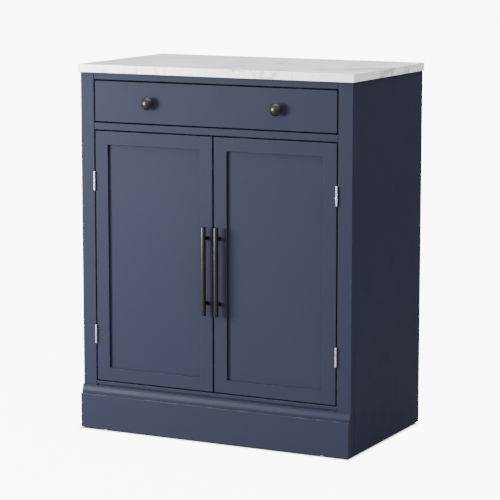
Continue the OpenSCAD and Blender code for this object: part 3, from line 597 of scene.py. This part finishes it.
def brushedMetal(name, look):
    # two tones mottled, made brighter where the edge mask is by the wornAndHighlight factor; rough is
    # added to by lines and by film
    material, tree, shader, coords = newMaterial(name, look["shader"])
    brush = useGroup(tree, groups["brush"], {"Vector": coords, "Stretch": look["stretch"]})
    mottle = useGroup(tree, groups["mottle"], {"Vector": coords, "Scale": look["mottleScale"]})
    rubAndHighlight = useGroup(tree, groups["rubAndHighlight"], {"Vector": coords, "Amount": look["rubAndHighlightAmount"]})
    base = blendColour(tree, mottle["Tone"], look["dark"], look["colour"])
    bright = tuple(min(1.0, look["wornAndHighlight"] * part) for part in look["colour"][:3]) + (1,)
    tree.links.new(blendColour(tree, rubAndHighlight["Mask"], base, bright), shader.inputs["Base Color"])
    lines = calc(tree, "ADD", calc(tree, "MULTIPLY", brush["Lines"], look["lineRough"]), look["rough"])
    film = calc(tree, "MULTIPLY", mottle["Film"], look["filmRough"])
    tree.links.new(calc(tree, "ADD", lines, film), shader.inputs["Roughness"])
    bumpFrom(tree, shader, brush["Lines"], *look["bump"])
    return material


zincLook = {
    "dark": (0.52, 0.54, 0.56, 1),
    "pale": (0.66, 0.67, 0.68, 1),
    "cellScale": 160.0,
    "rough": (0.30, 0.44),
    "grain": {"scale": 1500.0, "detail": 2.0},
    "bump": (0.08, 0.0001),
    "shader": {"Metallic": 1.0},
}


def zincPlate(look):
    # small crystals, each its own shade of grey
    material, tree, shader, coords = newMaterial("zincSteel", look["shader"])
    cells = place(tree, "TexVoronoi", {"Vector": coords, "Scale": look["cellScale"]}).outputs["Color"]
    grey = place(tree, "RGBToBW", {0: cells}).outputs[0]
    tree.links.new(blendColour(tree, grey, look["dark"], look["pale"]), shader.inputs["Base Color"])
    tree.links.new(remap(tree, grey, 0.0, 1.0, *look["rough"]), shader.inputs["Roughness"])
    bumpFrom(tree, shader, noise(tree, coords, **look["grain"]), *look["bump"])
    return material


paleLook = {
    "colour": (0.56, 0.56, 0.54, 1),
    "deep": (0.48, 0.48, 0.46, 1),
    "mottleScale": 25.0,
    "rough": (0.42, 0.58),
    "grain": {"scale": 2200.0, "detail": 2.0},
    "bump": (0.2, 0.0001),
    "shader": {"Specular IOR Level": 0.45},
}
darkLook = {
    **paleLook,
    "colour": (0.016, 0.015, 0.014, 1),
    "deep": (0.012, 0.011, 0.010, 1),
    "shader": {"Specular IOR Level": 0.05},
}


def mouldedPlastic(name, look):
    # two close tones mottled, on a fine moulded grain
    material, tree, shader, coords = newMaterial(name, look["shader"])
    mottle = useGroup(tree, groups["mottle"], {"Vector": coords, "Scale": look["mottleScale"]})
    tree.links.new(blendColour(tree, mottle["Tone"], look["deep"], look["colour"]),
                   shader.inputs["Base Color"])
    tree.links.new(remap(tree, mottle["Film"], 0.0, 1.0, *look["rough"]), shader.inputs["Roughness"])
    bumpFrom(tree, shader, noise(tree, coords, **look["grain"]), *look["bump"])
    return material


paint = cabinetPaint("satinPaint", paintLook)
# the moulding's glossier paint, darkened a little as painted shade
shadedMouldingPaint = cabinetPaint("satinPaintMouldingShaded", glossierShadedLook)
stone = stoneTop(stoneLook)
woodAcross = rawBoard("boardGrainAcross", (0.05, 1.0, 1.0), woodLook)
woodDeep = rawBoard("boardGrainDeep", (1.0, 0.05, 1.0), woodLook)
woodUp = rawBoard("boardGrainUp", (1.0, 1.0, 0.05), woodLook)
bronze = brushedMetal("darkBronze", bronzeLook)
nickel = brushedMetal("satinNickel", nickelLook)
zinc = zincPlate(zincLook)
palePlastic = mouldedPlastic("palePlastic", paleLook)
darkPlastic = mouldedPlastic("darkPlastic", darkLook)
print("materials made:", len(bpy.data.materials))


worktopSettings = {"round": 0.0012, "steps": 4}


def makeWorktop(settings):
    # one slab with softly rounded edges
    low, high = span("worktop")
    slab = roundedBoard(low, high, settings["round"], settings["steps"])
    flatNormals(makePiece("worktopSlab", [slab], "cabinet", stone, ["worktop"]))


faceFrameSettings = {
    "round": 0.0017,
    "setBack": 0.0008,
    "grooveDeep": 0.0038,
    "grooveHigh": 0.0035,
    "grooveSink": 0.0005,
    "browRound": 0.0008,
    "endRound": 0.0006,
}


def makeFrameBoard(node, settings):
    # one stile or rail; a rail stands back from the stiles
    low, high = span(node)
    if node.endswith("rail"):
        low[1] += settings["setBack"]
    board = roundedBoard(low, high, settings["round"])
    flatNormals(makePiece(node + "_eased", [board], "cabinet", paint, [node]))


def groovedSection(low, high, floorZ, settings):
    # (y, z) round the bottom rail: back, rounded top, front face, then a square groove whose
    # floor lies at floorZ, and the plain face below it
    front = low[1] + settings["setBack"]
    radius = settings["round"]
    brow = settings["browRound"]
    roof = floorZ + settings["grooveHigh"]
    deep = front + settings["grooveDeep"]
    return joined([
        ([[high[1], low[2]], [high[1], high[2]]], [0, 0]),
        (arc((front + radius, high[2] - radius), radius, 90, 4), [0, 0.8, 1, 0.8, 0]),
        (arc((front + brow, roof + brow), brow, 180, 3), [0, 0.7, 0.7, 0]),
        ([[deep, roof], [deep, floorZ], [front, floorZ], [front, low[2]]], [0, 0, 0, 0]),
    ])


def makeBottomRail(settings):
    # a strip with a shadow groove whose floor is just under the base board's top
    low, high = span("bottom_rail")
    boardTop = span("plinth_board")[1][2]
    section, marks = groovedSection(low, high, boardTop - settings["grooveSink"], settings)
    strip = mouldedStrip(section, marks, low[0], high[0], settings["endRound"])
    rail = makePiece("bottomRailGrooved", [strip], "cabinet", paint, ["bottom_rail"],
                     meshSettings["curvedSharp"])
    flatNormals(rail)


plinthSettings = {
    "lip": 0.0016,
    "lipOut": 0.0055,
    "lipRound": 0.0003,
    "swell": 0.0190,
    "swellPoints": 33,
    "steep": 0.42,
    "part": 0.85,
    "ledge": 0.0021,
    "ledgeDrop": 0.0005,
    "heelRound": 0.0008,
    "endRound": 0.0006,
}


def plinthSection(low, high, settings):
    # from the back up over the lip, then a swell whose slope is steep * sin(pi * u / part) ** 2,
    # so it stands out by height * steep * (u / 2 - part * sin(2 pi u / part) / (4 pi)) and runs
    # straight below; a ledge with a rounded edge, then down the face
    back = high[1]
    front = low[1]
    top = high[2]
    lipFace = back - settings["lipOut"]
    foot = top - settings["lip"] - settings["swell"]
    part = settings["part"]
    u = np.linspace(0, 1, settings["swellPoints"])
    v = np.minimum(u, part)
    stand = v / 2 - part * np.sin(2 * pi * v / part) / (4 * pi)
    swell = np.stack([
        lipFace - settings["swell"] * settings["steep"] * stand,
        foot + settings["swell"] * (1 - u),
    ], axis=-1)
    lip = settings["lipRound"]
    ledge = settings["ledge"]
    heel = settings["heelRound"]
    ledgeTop = foot - settings["ledgeDrop"]
    return joined([
        ([[back, low[2]], [back, top]], [0, 0]),
        (arc((lipFace + lip, top - lip), lip, 90, 4), [0, 0.8, 1, 0.8, 0]),
        (swell, np.zeros(len(swell))),
        (arc((front + ledge, ledgeTop - ledge), ledge, 90, 6), [0, 0.6, 1, 1, 1, 0.6, 0]),
        (arc((front + heel, low[2] + heel), heel, 180, 3), [0, 0.7, 0.7, 0]),
    ])


def makeBaseBoard(settings):
    # the base board with its moulded top: a lip, a swell and a small ledge over the flat face
    low, high = span("plinth_board")
    section, marks = plinthSection(low, high, settings)
    strip = mouldedStrip(section, marks, low[0], high[0], settings["endRound"])
    board = makePiece("plinthMoulding", [strip], "cabinet", shadedMouldingPaint,
                      ["plinth_board"], meshSettings["curvedSharp"])
    flatNormals(board)


makeWorktop(worktopSettings)
for node in ("left_face_stile", "right_face_stile", "top_rail", "middle_rail"):
    makeFrameBoard(node, faceFrameSettings)
makeBottomRail(faceFrameSettings)
makeBaseBoard(plinthSettings)
print("worktop, face frame and base board made")

drawerFrontSettings = {"round": 0.0015}


def makeDrawerFront(settings):
    # one flat board with rounded edges
    low, high = span("drawer_front")
    front = roundedBoard(low, high, settings["round"])
    flatNormals(makePiece("drawerFrontBoard", [front], "drawer", paint,
                          ["drawer_front"]))


doorSettings = {
    "outerRound": 0.0015,
    "innerRound": 0.0010,
    "backRound": 0.0006,
    "cornerTurn": 0.0015,
    "panelRound": 0.0004,
}


def doorSection(width, thick, settings):
    # (inward, depth) points: outer front edge, inner front edge, inner back edge, outer back edge
    outer = settings["outerRound"]
    inner = settings["innerRound"]
    back = settings["backRound"]
    return joined([
        (arc((outer, outer), outer, 180, 3), [0, 0.9, 0.9, 0]),
        (arc((width - inner, inner), inner, 270, 3), [0, 0.9, 0.9, 0]),
        (arc((width - back, thick - back), back, 0, 2), [0, 0.6, 0]),
        (arc((back, thick - back), back, 90, 2), [0, 0.6, 0]),
    ])


def makeDoor(side, settings):
    # a frame without visible joints round a thin recessed panel
    nodes = [side + "_" + part for part in ("hinge_stile", "free_stile", "upper_rail", "lower_rail")]
    low, high = span(*nodes)
    stileLow, stileHigh = span(nodes[1])
    railLow, railHigh = span(nodes[3])
    width = stileHigh[0] - stileLow[0]
    height = railHigh[2] - railLow[2]
    section, marks = doorSection(width, high[1] - low[1], settings)
    points, faces, edge = framedRing(low, high, section, marks, settings["cornerTurn"])
    # the rails are a little narrower than the stiles, so the inner part is let out in z
    middle = (low[2] + high[2]) / 2
    inner = np.abs(points[:, 2] - middle) < (high[2] - low[2]) / 2 - width / 2
    points[:, 2] += np.where(inner, np.sign(points[:, 2] - middle) * (width - height), 0)
    ring = makePiece(side + "DoorFrame", [(points, faces, edge)], side + "_door", paint,
                     nodes)
    flatNormals(ring)
    low, high = span(side + "_door_panel")
    panel = makePiece(side + "DoorPanel", [roundedBoard(low, high, settings["panelRound"], 2)],
                      side + "_door", paint, [side + "_door_panel"])
    flatNormals(panel)


makeDrawerFront(drawerFrontSettings)
for side in ("left", "right"):
    makeDoor(side, doorSettings)
print("drawer front and doors made")

knobSettings = {
    "footRadius": 0.0075,
    "footRound": 0.0006,
    "footHigh": 0.0020,
    "stemRadius": 0.005,
    "waistFrom": 0.0045,
    "waistPoints": 14,
    "rimHeight": 0.015,
    "rimBelow": 0.0015,
    "rimInside": 0.0012,
    "rimEase": 0.0004,
    "rimLower": 0.0011,
    "domeShare": 0.985,
    "domePoints": 22,
    "segments": 72,
}


def knobProfile(radius, reach, settings):
    # (radius, height): foot with a rounded edge, a cosine waist, a rim, then a cap of a sphere
    ease = settings["footRound"]
    foot = arc((settings["footRadius"] - ease, settings["footHigh"] - ease), ease, 0, 3)
    stem = settings["stemRadius"]
    rim = settings["rimHeight"]
    t = np.linspace(0, pi / 2, settings["waistPoints"])
    waist = np.stack([
        stem + (radius - settings["rimInside"] - stem) * (1 - np.cos(t)),
        settings["waistFrom"] + (rim - settings["rimBelow"] - settings["waistFrom"]) * np.sin(t),
    ], axis=-1)
    rise = reach - rim
    ball = (radius ** 2 + rise ** 2) / (2 * rise)
    widest = np.arcsin(radius / ball) * settings["domeShare"]
    angle = np.linspace(widest, 0, settings["domePoints"])
    dome = np.stack([ball * np.sin(angle), reach - ball + ball * np.cos(angle)], axis=-1)
    return joined([
        ([[0, 0], [settings["footRadius"], 0]], [0, 0]),
        (foot, np.zeros(len(foot))),
        (waist, np.zeros(len(waist))),
        ([[radius - settings["rimEase"], rim - settings["rimLower"]],
          [radius, rim - settings["rimEase"]]], [1, 1]),
        (dome, [1] + [0] * (len(dome) - 1)),
    ])


def makeKnob(side, settings):
    # a foot, a waisted stem and a domed head with a soft rim, turned about the way it is pulled
    low, high = span(side + "_knob")
    centre = ((low[0] + high[0]) / 2, high[1], (low[2] + high[2]) / 2)
    profile, marks = knobProfile((high[0] - low[0]) / 2, high[1] - low[1], settings)
    head = turnedShape(profile, marks, centre, (0, -1, 0), settings["segments"])
    makePiece(side + "KnobTurned", [head], "drawer", bronze, [side + "_knob"],
              meshSettings["curvedSharp"])


pullSettings = {
    "bar": 0.006,
    "barEase": 0.0007,
    "barSegments": 56,
    "post": 0.005,
    "postEase": 0.0005,
    "postSegments": 40,
    "span": 0.160,
}


def barProfile(radius, length, ease):
    # (radius, height) of a round bar whose two end edges are quarter circles
    return joined([
        ([[0, 0]], [0]),
        (arc((radius - ease, ease), ease, 270, 4), [0, 1, 1, 1, 0]),
        (arc((radius - ease, length - ease), ease, 0, 4), [0, 1, 1, 1, 0]),
        ([[0, length]], [0]),
    ])


def makePull(side, settings):
    # a round bar with eased ends, on two posts that reach back to the door
    low, high = span(side + "_pull")
    x = (low[0] + high[0]) / 2
    y = low[1] + settings["bar"]
    middle = (low[2] + high[2]) / 2
    bar, barMarks = barProfile(settings["bar"], high[2] - low[2], settings["barEase"])
    parts = [turnedShape(bar, barMarks, (x, y, low[2]), (0, 0, 1), settings["barSegments"])]
    reach = high[1] - y
    thick = settings["post"]
    ease = settings["postEase"]
    post = np.array([[0, 0], [thick, 0], [thick, reach - ease], [thick - ease, reach], [0, reach]])
    for end in (-1, 1):
        foot = (x, y, middle + end * settings["span"] / 2)
        parts.append(turnedShape(post, np.zeros(len(post)), foot, (0, 1, 0), settings["postSegments"]))
    makePiece(side + "PullBar", parts, side + "_door", bronze, [side + "_pull"],
              meshSettings["curvedSharp"])


for side in ("left", "right"):
    makeKnob(side, knobSettings)
for side in ("left", "right"):
    makePull(side, pullSettings)
print("knobs and pulls made")

# carcass boards keep their holes, with their long edges eased
easedBoards = {
    "left_side_panel": ("cabinet", paint, "cabinet_paint"),
    "right_side_panel": ("cabinet", paint, "cabinet_paint"),
    "bottom_panel": ("cabinet", paint, "cabinet_paint"),
    "divider_panel": ("cabinet", paint, "cabinet_paint"),
    "shelf": ("cabinet", paint, "cabinet_paint"),
    "back_panel": ("cabinet", woodUp, "raw_board"),
    "front_stretcher": ("cabinet", woodAcross, "raw_board"),
    "rear_stretcher": ("cabinet", woodAcross, "raw_board"),
    "rear_base_rail": ("cabinet", woodAcross, "raw_board"),
    "slide_packers": ("cabinet", woodDeep, "raw_board"),
    "drawer_left_side": ("drawer", woodDeep, "raw_board"),
    "drawer_right_side": ("drawer", woodDeep, "raw_board"),
    "drawer_inner_front": ("drawer", woodAcross, "raw_board"),
    "drawer_back": ("drawer", woodAcross, "raw_board"),
    "drawer_bottom": ("drawer", woodAcross, "raw_board"),
}
for node, (body, material, slotName) in easedBoards.items():
    easedCopy(node, body, material, slotName, easeSettings, **easeSettings["board"])

# hinge leaves, slide members and catches with their small edges broken
easedSmallParts = {
    "frame_hinge_leaves": ("cabinet", nickel, "satin_nickel"),
    "left_door_leaves": ("left_door", nickel, "satin_nickel"),
    "right_door_leaves": ("right_door", nickel, "satin_nickel"),
    "left_slide_outer": ("cabinet", zinc, "zinc_steel"),
    "right_slide_outer": ("cabinet", zinc, "zinc_steel"),
    "left_slide_middle": ("left_runner", zinc, "zinc_steel"),
    "right_slide_middle": ("right_runner", zinc, "zinc_steel"),
    "left_slide_inner": ("drawer", zinc, "zinc_steel"),
    "right_slide_inner": ("drawer", zinc, "zinc_steel"),
    "magnetic_catches": ("cabinet", darkPlastic, "grey_plastic"),
}
for node, (body, material, slotName) in easedSmallParts.items():
    easedCopy(node, body, material, slotName, easeSettings, **easeSettings["small"])

# CAD nodes whose shape is already right get their finish here
finishes = {
    "shelf_pins": zinc,
    "long_screws": zinc,
    "short_screws": zinc,
    "cam_fittings": zinc,
    "knob_screws": zinc,
    "drawer_screws": zinc,
    "left_strike_plate": darkPlastic,
    "right_strike_plate": darkPlastic,
    "left_door_screws": zinc,
    "right_door_screws": zinc,
    "hinge_pins": nickel,
    "dowels": woodAcross,
    "floor_glides": palePlastic,
}
for node, material in finishes.items():
    for holder in cadNodes[node].material_slots:
        holder.material = material
print("pieces made:", len(shown))

floorSettings = {
    "half": 60.0,
    "colour": (0.3, 0.3, 0.3, 1),
    "glow": 9.0,
    "paintedShadowEdge": (-0.004, 0.012),
    "shader": {"Roughness": 0.9, "Specular IOR Level": 0.1},
}


def paleFloor(settings):
    # one flat square at z = 0 that glows for the camera alone; a painted contact shadow: the glow dies
    # away where the larger of |x| and |y| less the base board's own reach goes under 0
    half = settings["half"]
    corners = [(-half, -half, 0), (half, -half, 0), (half, half, 0), (-half, half, 0)]
    mesh = bpy.data.meshes.new("paleFloor")
    mesh.from_pydata(corners, [], [(0, 1, 2, 3)])
    floor = bpy.data.objects.new("paleFloor", mesh)
    bpy.context.scene.collection.objects.link(floor)
    material, tree, shader, coords = newMaterial("paleFloor", settings["shader"])
    shader.inputs["Base Color"].default_value = settings["colour"]
    shader.inputs["Emission Strength"].default_value = settings["glow"]
    low, high = span("plinth_board")
    spot = place(tree, "SeparateXYZ", {0: coords}).outputs
    besideX = calc(tree, "SUBTRACT", calc(tree, "ABSOLUTE", spot["X"]), high[0])
    besideY = calc(tree, "SUBTRACT", calc(tree, "ABSOLUTE", spot["Y"]), -low[1])
    # painted contact shadow: no camera glow under the base board's outline and just round it
    outsidePaintedShadow = remap(tree, calc(tree, "MAXIMUM", besideX, besideY), *settings["paintedShadowEdge"])
    seen = place(tree, "LightPath").outputs["Is Camera Ray"]
    glow = blendColour(tree, calc(tree, "MULTIPLY", seen, outsidePaintedShadow), (0, 0, 0, 1), (1, 1, 1, 1))
    tree.links.new(glow, shader.inputs["Emission Color"])
    mesh.materials.append(material)


worldSettings = {
    "towards": (-0.2, -0.95, 0.25),
    "facing": (-0.7, 0.8),
    "strength": (0.15, 1.6),
    "seen": 9.0,
}


def studioWorld(settings):
    # soft surroundings, brighter on the key light's side: the strength follows
    # dot(direction, towards), and the camera itself sees one even brightness
    world = bpy.data.worlds.new("studio")
    bpy.context.scene.world = world
    world.use_nodes = True
    tree = world.node_tree
    direction = place(tree, "TexCoord").outputs["Generated"]
    facing = place(tree, "VectorMath", {0: direction, 1: settings["towards"]},
                   operation="DOT_PRODUCT").outputs["Value"]
    glow = remap(tree, facing, *settings["facing"], *settings["strength"])
    seen = place(tree, "LightPath").outputs["Is Camera Ray"]
    strength = place(tree, "Mix", {0: seen, 2: glow, 3: settings["seen"]}, data_type="FLOAT").outputs[0]
    background = tree.nodes["Background"]
    background.inputs["Color"].default_value = (1, 1, 1, 1)
    tree.links.new(strength, background.inputs["Strength"])


lightSettings = {
    "keyLight": {"at": (-1.8, -2.05, 0.92), "aim": (0, -0.2, 0.68), "size": (1.3, 1.0), "power": 190},
    "topLight": {"at": (0, 0.1, 3.0), "aim": (0, 0.1, 0.9), "size": (3.0, 3.0), "power": 125},
    "sideLight": {"at": (2.3, 0.5, 1.9), "aim": (0.4, 0, 0.75), "size": (1.2, 1.2), "power": 26},
}


def softLight(name, settings):
    # a rectangle that faces its aim: the light looks down its own -z
    data = bpy.data.lights.new(name, "AREA")
    data.shape = "RECTANGLE"
    data.size, data.size_y = settings["size"]
    data.energy = settings["power"]
    light = bpy.data.objects.new(name, data)
    bpy.context.scene.collection.objects.link(light)
    toAim = np.subtract(settings["aim"], settings["at"])
    flat = np.hypot(toAim[0], toAim[1])
    light.location = settings["at"]
    light.rotation_euler = (np.arctan2(flat, -toAim[2]), 0, np.arctan2(toAim[1], toAim[0]) - pi / 2)


cameraSettings = {
    "at": (2.4749, -4.9088, 1.3112),
    "tilt": 81.0972,
    "turn": 26.7553,
    "lens": 159.97,
    "sensor": 36,
    "farthest": 100,
}


def aimCamera(settings):
    # a camera that looks straight down, tilted up about x and then turned about z
    data = bpy.data.cameras.new("camera")
    data.lens = settings["lens"]
    data.sensor_width = settings["sensor"]
    data.clip_end = settings["farthest"]
    camera = bpy.data.objects.new("camera", data)
    camera.location = settings["at"]
    camera.rotation_euler = (radians(settings["tilt"]), 0, radians(settings["turn"]))
    bpy.context.scene.collection.objects.link(camera)
    bpy.context.scene.camera = camera


paleFloor(floorSettings)
studioWorld(worldSettings)
for name, settings in lightSettings.items():
    softLight(name, settings)
aimCamera(cameraSettings)
bpy.context.scene.view_settings.view_transform = "AgX"
print("stage, lights and camera made")
